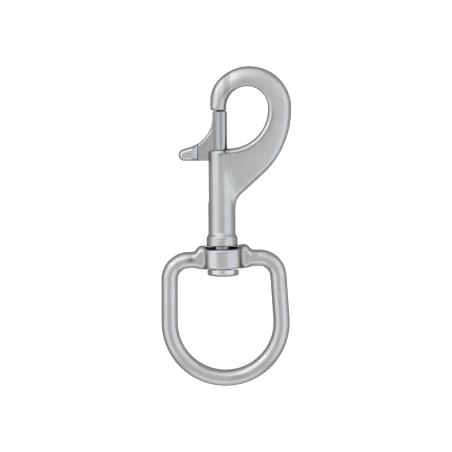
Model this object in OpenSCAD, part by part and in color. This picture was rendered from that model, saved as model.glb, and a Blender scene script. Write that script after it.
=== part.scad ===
// Swivel snap hook in cast stainless steel, lying on its back.
// +Y runs along the barrel from the eye to the bow, +X to the side that the bow opens over,
// +Z up from the surface that it lies on.

/* [Barrel] */
// Outside diameter of the barrel
barrel_d = 8.2; // [7.2:0.1:9]
// Height of the barrel above the foot of its collar
barrel_h = 28.5; // [26:0.5:34]
// Radius of the barrel's top rim
barrel_rim = 0.8; // [0.4:0.1:1]
// Diameter of the collar at the barrel's foot
collar_d = 9.4; // [9:0.1:10]
// Height of the collar, flare included
collar_h = 3.9; // [3.2:0.1:5]
// Height of the flare between the collar and the barrel
flare_h = 1.5; // [0.8:0.1:2]
// Edge radius at the collar's foot
collar_edge = 0.2; // [0.1:0.05:0.6]

/* [Bow] */
// Radius of the upper inner arc of the bow
bow_in_r = 6.2; // [5.6:0.1:7]
// Radius of the lower inner arc of the bow
bow_in_low_r = 11.8; // [11:0.1:13]
// Angle at which the two inner arcs meet
bow_in_blend = 6; // [2:1:12]
// Radius of the upper outer arc of the bow
bow_out_r = 12.6; // [12:0.1:13]
// Radius of the lower outer arc of the bow
bow_out_low_r = 26.6; // [22:0.2:30]
// Angle at which the two outer arcs meet
bow_out_blend = 1; // [0:1:4]
// Width of the bow at its crown, in the plane of the hook
crown_w = 6.1; // [5:0.1:6.6]
// Width of the bow at its outer side, in the plane of the hook
side_w = 7.1; // [6:0.1:7.6]
// Radius of the turn that narrows the bow to its tip
tip_turn_r = 9.1; // [8:0.1:9.6]
// Angle at which that turn leaves the outer arc
tip_turn_from = 140; // [132:1:148]
// Straight length of the tip below the inner arc
tip_drop = 1; // [0.8:0.1:1.6]
// Edge radius round the end of the tip
tip_edge = 0.7; // [0.3:0.1:0.8]
// Corner radius on the outer side of the tip's end
tip_corner = 1.2; // [0.8:0.1:1.6]
// Thickness of the bow at its tip
tip_t = 5; // [4.4:0.1:5.4]
// Thickness of the bow's inner edge at its crown
crown_t = 5.5; // [4.8:0.1:6]
// Thickness of the bow's outer edge at its crown
crown_out_t = 4.8; // [4.4:0.1:5.4]
// Thickness of the bow's inner edge at its side
side_t = 6.2; // [5.4:0.1:6.8]
// Thickness of the bow's outer edge at its side
side_out_t = 4.4; // [4:0.1:5.4]
// Thickness of the web's inner edge where it meets the barrel
web_t = 7.9; // [6.6:0.1:8]
// Thickness of the web's lower edge where it meets the barrel
web_low_t = 4.4; // [4:0.1:6.4]
// How late the bow and the web thin across their width: 1 is evenly, more keeps the inner half thick
swell = 1.6; // [1:0.1:2]
// Edge radius of the tip, and of the bow's outer edge
round_edge = 2.3; // [2:0.05:2.4]
// Edge radius of the bow's inner edge from the crown on
inner_edge = 1; // [0.6:0.1:1.6]
// Edge radius of the web's outer edge
web_edge = 1.1; // [0.6:0.1:1.6]
// Slope of the web's straight lower edge, from the barrel's axis
web_slope = 48; // [42:1:54]
// Fillet between the web's lower edge and the barrel
web_fillet = 5.5; // [3:0.5:7]
// Rise of the web's inner edge above the barrel's top
web_rise = 0.85; // [0.5:0.05:1.2]

/* [Bolt] */
// Diameter of the sliding bolt
bolt_d = 3.5; // [3.2:0.1:3.8]
// Running clearance round the bolt, on the radius
bolt_gap = 0.1; // [0.05:0.01:0.2]
// Gap between the closed bolt and the bow's tip
gate_gap = 0.04; // [0.02:0.01:0.2]
// How far the bolt still stands out of the barrel when it is pulled back
bolt_stand = 0.4; // [0.2:0.1:1]
// Edge radius round the bolt's nose
bolt_nose = 0.4; // [0.2:0.1:0.6]
// Length of the bolt below its fin
bolt_foot = 3.4; // [2.5:0.1:4]
// How far the tip's inner side lies inside the bolt's side
tip_inset = 0.15; // [0:0.05:0.4]

/* [Thumb lever] */
// Thickness of the fin that joins the bolt and the thumb pad
fin_t = 1.8; // [1.6:0.1:2.6]
// Clearance on each side of the fin in its slot
slot_gap = 0.15; // [0.1:0.05:0.3]
// Reach of the fin from the bolt's axis, along the bolt
fin_reach = 2.7; // [2.4:0.1:3.2]
// Drop of the fin's top below the bolt's nose
fin_drop = 0.1; // [0.05:0.05:0.3]
// Chamfer on the fin's top corner
fin_corner = 0.3; // [0.1:0.1:0.6]
// Radius of the hollow curve from the fin to the thumb pad
fin_curve_r = 9.3; // [8.6:0.1:9.8]
// Distance from the bolt's nose to the start of the hollow curve
fin_curve_from = 1.9; // [1:0.1:2.6]
// Angle that the hollow curve turns through
fin_turn = 70; // [66:1:72]
// Reach of the thumb pad from the bolt's axis
pad_reach = 12.9; // [12:0.1:14]
// Thickness of the thumb pad
pad_t = 4.8; // [3.6:0.1:6]
// Radius of the thumb pad's round end
pad_end_r = 1.8; // [1.5:0.1:2]
// Width of the steep band round the thumb pad
pad_steep = 0.5; // [0.2:0.1:0.5]
// Height of that steep band
pad_steep_h = 0.95; // [0.5:0.05:1.1]
// Width of the bevel inside the steep band
pad_bevel = 0.5; // [0.2:0.1:0.5]
// Height of that bevel
pad_bevel_h = 0.3; // [0.1:0.05:0.5]
// Length of the slope from the thumb pad down to the fin
pad_slope = 1.5; // [0.8:0.1:1.8]
// Radius of the thumb pad's inner corners
pad_corner_r = 1.2; // [1.2:0.05:1.4]
// Height of the lever's lower edge below the barrel's top
lever_drop = 2.8; // [2:0.1:3.4]

/* [Spring] */
// Wire diameter of the bolt's spring
spring_wire = 0.45; // [0.35:0.05:0.5]
// Gap between the spring and the barrel's bore
spring_gap = 0.2; // [0.1:0.05:0.3]
// Number of coils, the closed end coils included
spring_coils = 10; // [8:1:11]

/* [Swivel] */
// Diameter of the swivel pin's shank
pin_d = 5.2; // [4.4:0.1:5.4]
// Length of the shank that is held in the barrel's foot
pin_seat = 4.6; // [4:0.1:6]
// Clearance round the held shank, on the radius
seat_gap = 0.02; // [0.01:0.01:0.05]
// Chamfer on the top end of the shank
pin_chamfer = 0.3; // [0.1:0.1:0.5]
// Diameter of the pin's head under the hub
head_d = 9.4; // [8.4:0.1:10]
// Height of the pin's head
head_h = 2.1; // [1.6:0.1:2.8]
// Edge radius of the pin's head
head_edge = 0.7; // [0.5:0.1:1.2]
// Crown of the pin's head
head_crown = 0.5; // [0.2:0.05:0.6]
// Chamfer round the upper side of the pin's head
head_chamfer = 0.2; // [0.1:0.05:0.4]
// Play between the shank and the hub's bore, on the radius
swivel_play = 0.6; // [0.56:0.02:0.8]
// Play between the leaning hub and the collar, and between it and the head
end_play = 0.08; // [0.04:0.04:0.3]

/* [Eye] */
// Diameter of the eye's round wire
wire_d = 5; // [4.6:0.1:5.4]
// Radius inside the round foot of the eye
eye_in_r = 14.3; // [13.4:0.1:16]
// Distance from the arms to the middle of the eye's round foot
eye_reach = 19.1; // [17:0.1:22]
// Radius inside the eye's upper corners
corner_in_r = 3.3; // [2.6:0.1:4]
// Angle that each side flares by
eye_flare = 2; // [1:0.5:4]
// Diameter of the hub
hub_d = 11.8; // [11.4:0.1:12.4]
// Height of the hub above the middle of the arms
hub_up = 3.2; // [3:0.1:3.8]
// Height of the hub below the middle of the arms
hub_down = 2.75; // [2.6:0.05:3.2]
// Edge width round the hub's upper rim
hub_edge = 0.5; // [0.2:0.1:0.8]
// Edge radius round the hub's lower rim
hub_low_edge = 1.1; // [0.4:0.1:1.2]
// Height of the shoulders above the middle of the arms
ear_up = 4.2; // [3.8:0.1:4.6]
// Depth of the shoulders below the middle of the arms
ear_down = 2.9; // [2.6:0.1:3.2]
// Thickness of the shoulders
ear_t = 5.2; // [4.8:0.1:5.4]
// Length of each shoulder's level top
ear_level = 1.9; // [0.5:0.1:2.4]
// Length of each shoulder with the curve down to its arm
ear_run = 4.3; // [3.4:0.1:4.8]
// Gap between the shoulders and the collar
ear_gap = 0.1; // [0.1:0.05:0.8]
// Sideways shift of the eye within the swivel's play
eye_shift = 0.35; // [0:0.05:0.4]
// Sideways lean of the eye within the swivel's play
eye_lean = 1.6; // [0:0.1:2]

/* [Hidden] */
$fn = 64;

// Number of points along each quarter of a swept section and across each face of the bow, and steps
// along each sweep
quarter_points = 5;
face_points = 3;
tip_steps = 3;
arc_steps = 16;
web_steps = 20;
corner_steps = 8;
foot_steps = 30;
side_steps = 4;
ear_steps = 9;
edge_steps = 4;
flare_steps = 8;
hollow_steps = 12;
crown_steps = 6;
coil_steps = 14;
coil_sides = 6;
cut_over = 1;

function dir(a) = [cos(a), sin(a)];
function mix(a, b, t) = a + (b - a) * t;
function ease(t) = (1 - cos(180 * t)) / 2;

barrel_r = barrel_d / 2;
collar_r = collar_d / 2;
bolt_r = bolt_d / 2;
bore_r = bolt_r + bolt_gap;
pin_r = pin_d / 2;
wire_r = wire_d / 2;
hub_r = hub_d / 2;
head_r = head_d / 2;

// Centres of the bow's arcs. The inner side starts beside the bolt and ends above the barrel's top
tip_in_x = bolt_r - tip_inset;
in_low_y = barrel_h + web_rise + bow_in_low_r;
in_c = [tip_in_x + bow_in_r, in_low_y + (bow_in_low_r - bow_in_r) * sin(bow_in_blend)];
in_low_c = in_c - (bow_in_low_r - bow_in_r) * dir(bow_in_blend);
out_c = in_c + [bow_in_r + side_w - bow_out_r, bow_in_r + crown_w - bow_out_r];
out_low_c = out_c - (bow_out_low_r - bow_out_r) * dir(bow_out_blend);
tip_turn_c = out_c + (bow_out_r - tip_turn_r) * dir(tip_turn_from);
tip_out_x = tip_turn_c.x - tip_turn_r;
tip_y = in_c.y - tip_drop;

// The web's lower edge: a straight line that leaves the outer arc, and a fillet into the barrel.
// The fillet ends just inside the barrel's side, so that the two surfaces cross
fillet_sink = 0.3;
edge_from = out_low_c + bow_out_low_r * dir(-web_slope);
edge_dir = -[sin(web_slope), cos(web_slope)];
wall_x = barrel_r - fillet_sink;
edge_len = (edge_from.x - wall_x) / sin(web_slope) - web_fillet * tan(web_slope / 2);
edge_to = edge_from + edge_len * edge_dir;
fillet_c = edge_to + web_fillet * [cos(web_slope), -sin(web_slope)];

// Bolt, lever and slot
bolt_top = tip_y - gate_gap;
bolt_travel = bolt_top - barrel_h - bolt_stand;
lever_y = barrel_h - lever_drop;
bolt_end = lever_y - bolt_foot;

// The slot ends in a half round, which the square corners of the fin stay clear of
slot_w = fin_t + 2 * slot_gap;
slot_r = slot_w / 2;
slot_spare = 0.3;
slot_round = slot_r - sqrt(slot_r * slot_r - fin_t * fin_t / 4);
slot_y = lever_y - bolt_travel - slot_spare - slot_round;
fin_curve_c = [-fin_reach - fin_curve_r, bolt_top - fin_curve_from];
fin_curve_end = fin_curve_c + fin_curve_r * dir(-fin_turn);
pad_end_c = [pad_end_r - pad_reach, lever_y + pad_end_r];

// The eye leans sideways and droops until its foot lies on the surface that its hub lies on
foot_r = eye_in_r + wire_r;
corner_r = corner_in_r + wire_r;
eye_droop = asin((hub_r - wire_r) / (eye_reach + foot_r - hub_down + hub_low_edge));
tilt = acos(cos(eye_lean) * cos(eye_droop));
eye_y = -end_play - hub_up * cos(tilt) - collar_r * sin(tilt);
head_y = eye_y - hub_down * cos(tilt) - head_r * sin(tilt) - end_play;
hub_bore_r = pin_r + swivel_play;
ear_x = collar_r + ear_gap;
ear_shift = eye_shift - ear_up * sin(eye_lean);
corner_y = -corner_r;
corner_x = (foot_r - corner_r - (eye_reach + corner_y) * sin(eye_flare)) / cos(eye_flare);

// Place of the hook: the middle of its box, with its lowest point on the surface
box_left = eye_shift + eye_reach * sin(eye_lean) - foot_r - wire_r;
box_right = out_low_c.x + bow_out_low_r;
box_foot = eye_y - (eye_reach * cos(eye_lean) + foot_r) * cos(eye_droop) - wire_r;
box_head = out_c.y + bow_out_r;
box_low = (eye_reach * cos(eye_lean) + foot_r) * sin(eye_droop) + wire_r;
place = [-(box_left + box_right) / 2, -(box_foot + box_head) / 2, box_low];

// Points round a rectangle of half sizes a and b, its corners rounded to radius r_near on the side
// that the section's first direction faces and to r_far on the other. Further points may lie across
// the two faces that are b from the middle
function round_section(a, b, r_near, r_far, across = 0) =
    let (near = min(r_near, a, b), far = min(r_far, a, b))
    [for (c = [0:3])
        let (sa = (c == 0 || c == 3) ? 1 : -1, sb = c < 2 ? 1 : -1, q = sa > 0 ? near : far)
        each concat(
            [for (i = [0:quarter_points - 1])
                let (t = (c + (i + 0.5) / quarter_points) * 90)
                [sa * (a - q) + q * cos(t), sb * (b - q) + q * sin(t)]],
            sa != sb ? [] : [for (i = [1:1:across])
                let (t = sa > 0 ? i / (across + 1) : 1 - i / (across + 1))
                [mix(a - near, far - a, t), sb * b]]
        )];

// A section standing on the line from p to q in the plane of the hook, with the thickness and the
// edge radius of each end
function section_between(p, q, tp, tq, rp, rq) =
    let (d = (p - q) / norm(p - q), c = (p + q) / 2, a = norm(q - p) / 2, t = max(tp, tq))
    [for (s = round_section(a, t / 2, rp, rq, face_points))
        let (thick = mix(tp, tq, pow((a - s.x) / (2 * a), swell)))
        [c.x + d.x * s.x, c.y + d.y * s.x, s.y * thick / t]];

// Closed solid through a list of sections with equal numbers of points, which run clockwise as
// seen along the sweep
module loft(sections) {
    n = len(sections[0]);
    m = len(sections);
    sides = [for (i = [0:m - 2]) for (j = [0:n - 1]) let (k = (j + 1) % n)
        each [[i * n + j, i * n + k, (i + 1) * n + k], [i * n + j, (i + 1) * n + k, (i + 1) * n + j]]];
    first = [for (j = [n - 1:-1:0]) j];
    last = [for (j = [0:n - 1]) (m - 1) * n + j];
    polyhedron(points = [for (s = sections) each s], faces = concat([first], sides, [last]), convexity = 8);
}

module along_y() {
    rotate([-90, 0, 0]) children();
}

// Profile points of a quarter round edge between two directions
function edge_arc(c, r, from, to) =
    [for (i = [0:edge_steps]) c + r * dir(mix(from, to, i / edge_steps))];

// Sides of the bow. s runs from 0 at the tip's end through 1 and 2 round the arcs to 3 at the barrel
function bow_in(s) =
    s < 1 ? [tip_in_x, mix(tip_y, in_c.y, s)] :
    s < 2 ? in_c + bow_in_r * dir(mix(180, bow_in_blend, s - 1)) :
    in_low_c + bow_in_low_r * dir(mix(bow_in_blend, -90, s - 2));

arc_part = 0.6;
line_part = 0.82;
function web_out(f) =
    f < arc_part ? out_low_c + bow_out_low_r * dir(mix(bow_out_blend, -web_slope, f / arc_part)) :
    f < line_part ? mix(edge_from, edge_to, (f - arc_part) / (line_part - arc_part)) :
    fillet_c + web_fillet * dir(mix(180 - web_slope, 180, (f - line_part) / (1 - line_part)));

function bow_arc_out(a) =
    a > tip_turn_from ? tip_turn_c + tip_turn_r * dir(a) : out_c + bow_out_r * dir(a);

function bow_out(s) =
    s < 1 ? [tip_out_x, mix(tip_y, tip_turn_c.y, s)] :
    s < 2 ? bow_arc_out(mix(180, bow_out_blend, s - 1)) :
    web_out(s - 2);

function in_thick(s) = lookup(s, [[0, tip_t], [1, tip_t], [1.5, crown_t], [2, side_t], [3, web_t]]);
function out_thick(s) =
    lookup(s, [[0, tip_t], [1, tip_t], [1.5, crown_out_t], [2, side_out_t], [3, web_low_t]]);
function in_edge(s) = lookup(s, [[0, round_edge], [1.1, round_edge], [1.45, inner_edge]]);
function out_edge(s) = lookup(s, [[0, round_edge], [2.1, round_edge], [2.5, web_edge]]);

// Sections round the tip's end, inset to round its edge off
function tip_sections() =
    [for (i = [0:tip_steps])
        let (
            t = 90 * i / tip_steps,
            in = 1 - sin(t),
            up = 1 - cos(t),
            p = [tip_in_x - tip_edge * in, tip_y + tip_edge * up],
            q = [tip_out_x + tip_corner * in, tip_y + tip_corner * up],
            thick = tip_t - 2 * tip_edge * in,
            edge = round_edge - tip_edge * in
        )
        section_between(p, q, thick, thick, edge, edge)];

function bow_sections() =
    let (steps = concat(
        [for (i = [0:arc_steps]) 1 + i / arc_steps],
        [for (i = [1:web_steps]) 2 + i / web_steps]
    ))
    [for (s = steps)
        section_between(bow_in(s), bow_out(s), in_thick(s), out_thick(s), in_edge(s), out_edge(s))];

// The last section lies inside the barrel, below its top rim
root_in = [bore_r / 2, barrel_h - barrel_rim / 2];
root_out = [bore_r, fillet_c.y - fillet_sink];

module bow() {
    root_t = [web_t - 2 * fillet_sink, web_low_t - 2 * fillet_sink];
    loft(concat(
        tip_sections(),
        bow_sections(),
        [section_between(root_in, root_out, root_t[0], root_t[1], inner_edge, web_edge)]
    ));
}

module barrel_outside() {
    belly_y = collar_h - flare_h;
    profile = concat(
        [[0, 0]],
        edge_arc([collar_r - collar_edge, collar_edge], collar_edge, -90, 0),
        [for (i = [0:flare_steps])
            let (t = i / flare_steps)
            [mix(collar_r, barrel_r, ease(t)), mix(belly_y, collar_h, t)]],
        edge_arc([barrel_r - barrel_rim, barrel_h - barrel_rim], barrel_rim, 0, 90),
        [[0, barrel_h]]
    );
    along_y() rotate_extrude() polygon(profile);
}

// The slot lets the lever down the far side of the barrel from the bow. Its lower end is round
module lever_slot() {
    translate([-barrel_r - cut_over, slot_y + slot_r, -slot_r])
        cube([barrel_r + cut_over, barrel_h - slot_y - slot_r + cut_over, slot_w]);
    translate([-barrel_r - cut_over, slot_y + slot_r, 0])
        rotate([0, 90, 0]) cylinder(r = slot_r, h = barrel_r + cut_over);
}

module hook_body() {
    color("silver") translate(place) difference() {
        union() {
            barrel_outside();
            bow();
        }
        along_y() cylinder(r = bore_r, h = barrel_h + 2 * web_rise);
        along_y() translate([0, 0, -cut_over]) cylinder(r = pin_r + seat_gap, h = pin_seat + cut_over);
        lever_slot();
    }
}

// Outline of the fin from the bolt's axis to the inside of the thumb pad
module fin() {
    fin_top = bolt_top - fin_drop;
    fin_end = fin_curve_end - pad_slope * [sin(fin_turn), cos(fin_turn)];
    outline = concat(
        [[0, lever_y], [0, fin_top], [-fin_reach + fin_corner, fin_top], [-fin_reach, fin_top - fin_corner]],
        [for (i = [0:hollow_steps]) fin_curve_c + fin_curve_r * dir(-fin_turn * i / hollow_steps)],
        [fin_end, [fin_end.x, lever_y]]
    );
    linear_extrude(height = fin_t, center = true) polygon(outline);
}

// A disc with a steep band and a bevel round each face, which the thumb pad is drawn round
module pad_disc(r) {
    cylinder(r = r, h = pad_t - 2 * (pad_steep_h + pad_bevel_h), center = true, $fn = 32);
    cylinder(r = r - pad_steep, h = pad_t - 2 * pad_bevel_h, center = true, $fn = 32);
    cylinder(r = r - pad_steep - pad_bevel, h = pad_t, center = true, $fn = 32);
}

// The pad widens from the fin's thickness over its slope, whose ends lie inside the fin
module thumb_pad() {
    inner_x = fin_curve_end.x;
    slope_turn = fin_turn - pad_slope / fin_curve_r * 180 / PI;
    slope_top = fin_curve_c + (fin_curve_r + fin_t / 2) * dir(-slope_turn);
    slope_end = [fin_t / 4, fin_t / 4, fin_t];
    hull() {
        translate(pad_end_c) pad_disc(pad_end_r);
        translate(fin_curve_end - [0, pad_corner_r]) pad_disc(pad_corner_r);
        translate([inner_x, lever_y + pad_corner_r]) pad_disc(pad_corner_r);
        translate([inner_x + pad_slope, lever_y + fin_t / 2]) cube(slope_end, center = true);
        translate(slope_top) cube(slope_end, center = true);
    }
}

module bolt() {
    profile = concat(
        [[0, bolt_end], [bolt_r - bolt_nose, bolt_end], [bolt_r, bolt_end + bolt_nose]],
        edge_arc([bolt_r - bolt_nose, bolt_top - bolt_nose], bolt_nose, 0, 90),
        [[0, bolt_top]]
    );
    color("gainsboro") translate(place) {
        along_y() rotate_extrude() polygon(profile);
        fin();
        thumb_pad();
    }
}

// Height of the spring's wire: the first and last coils lie close, the rest are evenly spread
spring_r = bore_r - spring_gap - spring_wire / 2;
spring_low = pin_seat + spring_wire / 2;
spring_high = bolt_end - spring_wire / 2;
close_pitch = spring_wire * 1.12;
function coil_y(turn) =
    turn < 1 ? spring_low + close_pitch * turn :
    turn > spring_coils - 1 ? spring_high - close_pitch * (spring_coils - turn) :
    mix(spring_low + close_pitch, spring_high - close_pitch, (turn - 1) / (spring_coils - 2));

module bolt_spring() {
    sections = [for (i = [0:spring_coils * coil_steps])
        let (turn = i / coil_steps, a = 360 * turn, y = coil_y(turn))
        [for (j = [0:coil_sides - 1])
            let (t = -360 * j / coil_sides, r = spring_r + spring_wire / 2 * cos(t))
            [r * cos(a), y + spring_wire / 2 * sin(t), r * sin(a)]]];
    color("gray") translate(place) loft(sections);
}

module swivel_pin() {
    head_low = head_y - head_h;
    rim_x = head_r - head_edge;
    crown_r = (rim_x * rim_x + head_crown * head_crown) / (2 * head_crown);
    crown_a = asin(rim_x / crown_r);
    crown_y = head_low + crown_r;
    profile = concat(
        [for (i = [0:crown_steps])
            let (a = crown_a * i / crown_steps)
            [crown_r * sin(a), crown_y - crown_r * cos(a)]],
        edge_arc([rim_x, head_low + head_crown + head_edge], head_edge, crown_a - 90, 0),
        [[head_r, head_y - head_chamfer], [head_r - head_chamfer, head_y], [pin_r, head_y]],
        [[pin_r, pin_seat - pin_chamfer], [pin_r - pin_chamfer, pin_seat], [0, pin_seat]]
    );
    color("lightgray") translate(place) along_y() rotate_extrude() polygon(profile);
}

// Centre line of one half of the eye, the right one for side 1 and the left one, mirrored, for -1.
// It runs from the shoulder to the middle of the foot, as [point, direction that its outer side
// faces, shoulder amount]. Both shoulders begin equally far from the pin's axis
side_top = [corner_x, corner_y] + corner_r * dir(eye_flare);
side_foot = [0, -eye_reach] + foot_r * dir(eye_flare);
function eye_line(side) = concat(
    [[[ear_x - side * ear_shift, 0], 90, 1]],
    [for (i = [0:ear_steps])
        let (t = i / ear_steps)
        [[mix(ear_x + ear_level, ear_x + ear_run, t), 0], 90, 1 - ease(t)]],
    [for (i = [0:corner_steps])
        let (a = mix(90, eye_flare, i / corner_steps))
        [[corner_x, corner_y] + corner_r * dir(a), a, 0]],
    [for (i = [1:side_steps - 1]) [mix(side_top, side_foot, i / side_steps), eye_flare, 0]],
    [for (i = [0:foot_steps / 2])
        let (a = mix(eye_flare, -90, i / (foot_steps / 2)))
        [[0, -eye_reach] + foot_r * dir(a), a, 0]]
);

function eye_section(p, a, ear, side) =
    let (
        up = mix(wire_r, ear_up, ear),
        down = mix(wire_r, ear_down, ear),
        half_t = mix(wire_r, ear_t / 2, ear),
        r = mix(wire_r, ear_t * 0.46, ear)
    )
    [for (s = round_section((up + down) / 2, half_t, r, r))
        let (u = s.x + (up - down) / 2)
        [side * (p.x + u * cos(a)), p.y + u * sin(a), -s.y]];

module eye_wire() {
    left_line = eye_line(-1);
    right = [for (l = eye_line(1)) eye_section(l[0], l[1], l[2], 1)];
    left = [for (i = [len(left_line) - 2:-1:0])
        eye_section(left_line[i][0], left_line[i][1], left_line[i][2], -1)];
    loft(concat(right, left));
}

module hub_outside() {
    profile = concat(
        [[0, -hub_down]],
        edge_arc([hub_r - hub_low_edge, hub_low_edge - hub_down], hub_low_edge, -90, 0),
        [[hub_r, hub_up - hub_edge], [hub_r - hub_edge, hub_up], [0, hub_up]]
    );
    along_y() rotate_extrude() polygon(profile);
}

module swivel_eye() {
    color("silver")
        translate(place + [eye_shift, eye_y, 0]) rotate([eye_droop, 0, 0]) rotate([0, 0, eye_lean])
        difference() {
            union() {
                hub_outside();
                eye_wire();
            }
            along_y() translate([0, 0, -hub_down - cut_over])
                cylinder(r = hub_bore_r, h = hub_up + hub_down + 2 * cut_over);
        }
}

hook_body();
bolt();
bolt_spring();
swivel_pin();
swivel_eye();
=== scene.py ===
"""Swivel snap hook in cast stainless steel, on a white table, seen from straight above.

Each piece is meshed from a distance field in millimetres, in the hook's own frame: y runs along
the barrel from the foot of its collar, x towards the bow's web and z up from the barrel's axis.
"""
import math

import bpy
import numpy as np
from mathutils import Matrix, Vector


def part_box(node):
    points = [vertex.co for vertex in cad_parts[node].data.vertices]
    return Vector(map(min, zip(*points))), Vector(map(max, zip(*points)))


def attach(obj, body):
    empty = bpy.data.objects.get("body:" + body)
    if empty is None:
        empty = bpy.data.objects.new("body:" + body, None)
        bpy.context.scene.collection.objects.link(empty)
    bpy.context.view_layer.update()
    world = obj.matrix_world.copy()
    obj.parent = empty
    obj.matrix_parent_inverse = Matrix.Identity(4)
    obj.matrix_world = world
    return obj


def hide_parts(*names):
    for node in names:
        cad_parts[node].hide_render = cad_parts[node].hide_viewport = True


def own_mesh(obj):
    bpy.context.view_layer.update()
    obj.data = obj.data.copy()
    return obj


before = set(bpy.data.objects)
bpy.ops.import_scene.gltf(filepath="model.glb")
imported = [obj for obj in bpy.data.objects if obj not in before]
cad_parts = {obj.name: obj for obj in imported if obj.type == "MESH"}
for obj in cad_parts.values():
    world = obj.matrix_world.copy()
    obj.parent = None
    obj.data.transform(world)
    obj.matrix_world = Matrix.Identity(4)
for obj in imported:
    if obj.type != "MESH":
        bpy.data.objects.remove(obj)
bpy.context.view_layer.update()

# ---- sizes in mm, as in the part's source ---------------------------------------------------
BARREL_R, BARREL_H = 4.1, 28.5
COLLAR_R, COLLAR_H, FLARE_H, COLLAR_EDGE = 4.7, 3.9, 1.5, 0.2
BOW_IN_R, BOW_IN_LOW_R, BOW_IN_BLEND = 6.2, 11.8, 6.0
BOW_OUT_R, BOW_OUT_LOW_R, BOW_OUT_BLEND = 12.6, 26.6, 1.0
CROWN_W, SIDE_W = 6.1, 7.1
TIP_TURN_R, TIP_TURN_FROM, TIP_DROP, TIP_EDGE, TIP_CORNER = 9.1, 140.0, 1.0, 0.7, 1.2
TIP_T, CROWN_T, SIDE_T, SIDE_OUT_T = 5.0, 5.5, 6.2, 4.4
WEB_T, WEB_LOW_T, SWELL, ROUND_EDGE, INNER_EDGE, WEB_EDGE = 7.9, 4.4, 1.6, 2.3, 1.0, 1.1
WEB_SLOPE, WEB_FILLET, WEB_RISE = 48.0, 5.5, 0.85
BOLT_R, BOLT_GAP, GATE_GAP, BOLT_STAND, BOLT_NOSE, BOLT_FOOT = 1.75, 0.1, 0.04, 0.4, 0.4, 3.4
TIP_INSET = 0.15
FIN_T, FIN_REACH, FIN_CURVE_R, FIN_CURVE_FROM, FIN_TURN = 1.8, 2.7, 9.3, 1.9, 70.0
SLOT_GAP, SLOT_SPARE = 0.15, 0.3
PAD_REACH, PAD_T, PAD_END_R, LEVER_DROP = 12.9, 4.8, 1.8, 2.8
PAD_STEEP, PAD_STEEP_H, PAD_BEVEL, PAD_BEVEL_H = 0.5, 0.95, 0.5, 0.3
FIN_DROP, FIN_CORNER = 0.1, 0.3
SPRING_WIRE, SPRING_GAP, SPRING_COILS = 0.45, 0.2, 10
PIN_R, PIN_SEAT, SEAT_GAP = 2.6, 4.6, 0.02
HEAD_R, HEAD_H, HEAD_EDGE, HEAD_CROWN = 4.7, 2.1, 0.7, 0.5
SWIVEL_PLAY, END_PLAY = 0.6, 0.08
WIRE_R, EYE_IN_R, EYE_REACH, CORNER_IN_R, EYE_FLARE = 2.5, 14.3, 19.1, 3.3, 2.0
HUB_R, HUB_UP, HUB_DOWN, HUB_EDGE, HUB_LOW_EDGE = 5.9, 3.2, 2.75, 0.5, 1.1
EAR_UP, EAR_DOWN, EAR_T, EAR_LEVEL, EAR_RUN, EAR_GAP = 4.2, 2.9, 5.2, 1.9, 4.3, 0.1
EYE_SHIFT, EYE_LEAN = 0.35, 1.6

# ---- sizes in mm of the fine forms, which only this scene has --------------------------------
SHRINK = 0.035  # the two castings are drawn in by this, so that they stay in the CAD's box
CUT_EDGE, CUT_PAST = 0.12, 4  # how round a cut's edge is, and how far it runs on past the barrel
BARREL_RIM, TOP_RISE = 0.85, 0.35
COLLAR_LINE_Y, COLLAR_LINE_W, COLLAR_LINE_DEPTH = 1.85, 0.16, 0.06
BEAD_W, BEAD_EDGE, GROOVE_W, GROOVE_DEPTH = 1.6, 1.6, 0.2, 0.14
TIP_RUN_ON, TIP_CORNER_LESS, TIP_EDGE_LESS = 3, 0.35, 0.3
WEB_IN_X, WEB_IN_DROP, WEB_IN_FOOT, WEB_IN_SIDE = 1.0, 0.35, 0.5, 0.2
ROOT_THICKER, ROOT_BELOW_BARREL = 0.34, 0.04
LEVER_IN_X, LEVER_RISE, PAD_FOOT_X, LEVER_BLEND = 0.5, 0.04, -8.0, 0.3
HEAD_OFF, HEAD_TALLER, HEAD_RISE, HEAD_TOP_EDGE = 0.25, 0.15, 0.03, 0.15
PIT_X, PIT_Y, PIT_Z, PIT_R, PIT_SQUEEZE = 0.27, -7.55, 4.72, 0.36, 1.2
HUB_WIDE, HUB_SQUARE, HUB_FRONT_EDGE, HUB_BORE_EDGE, ARM_BLEND = 1.045, 2.12, 0.7, 0.3, 0.9
EAR_ROUND, EAR_SIDE_EDGE = 2.1, 0.35
SEAT_IN, SEAT_TOP_GAP, SEAT_BACK, SEAT_BLEND = 0.2, 0.02, 0.8, 0.15

MM = 1000  # in a metre


def direction(deg):
    return np.array([math.cos(math.radians(deg)), math.sin(math.radians(deg))])


def mix(a, b, t):
    return a + (b - a) * t


BORE_R = BOLT_R + BOLT_GAP
TIP_IN_X = BOLT_R - TIP_INSET
IN_C = np.array([TIP_IN_X + BOW_IN_R, BARREL_H + WEB_RISE + BOW_IN_LOW_R
                 + (BOW_IN_LOW_R - BOW_IN_R) * math.sin(math.radians(BOW_IN_BLEND))])
IN_LOW_C = IN_C - (BOW_IN_LOW_R - BOW_IN_R) * direction(BOW_IN_BLEND)
OUT_C = IN_C + np.array([BOW_IN_R + SIDE_W - BOW_OUT_R, BOW_IN_R + CROWN_W - BOW_OUT_R])
OUT_LOW_C = OUT_C - (BOW_OUT_LOW_R - BOW_OUT_R) * direction(BOW_OUT_BLEND)
TIP_TURN_C = OUT_C + (BOW_OUT_R - TIP_TURN_R) * direction(TIP_TURN_FROM)
TIP_OUT_X = TIP_TURN_C[0] - TIP_TURN_R
TIP_Y = IN_C[1] - TIP_DROP
EDGE_FROM = OUT_LOW_C + BOW_OUT_LOW_R * direction(-WEB_SLOPE)
_slope = math.radians(WEB_SLOPE)
EDGE_LEN = (EDGE_FROM[0] - BARREL_R) / math.sin(_slope) - WEB_FILLET * math.tan(_slope / 2)
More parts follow.
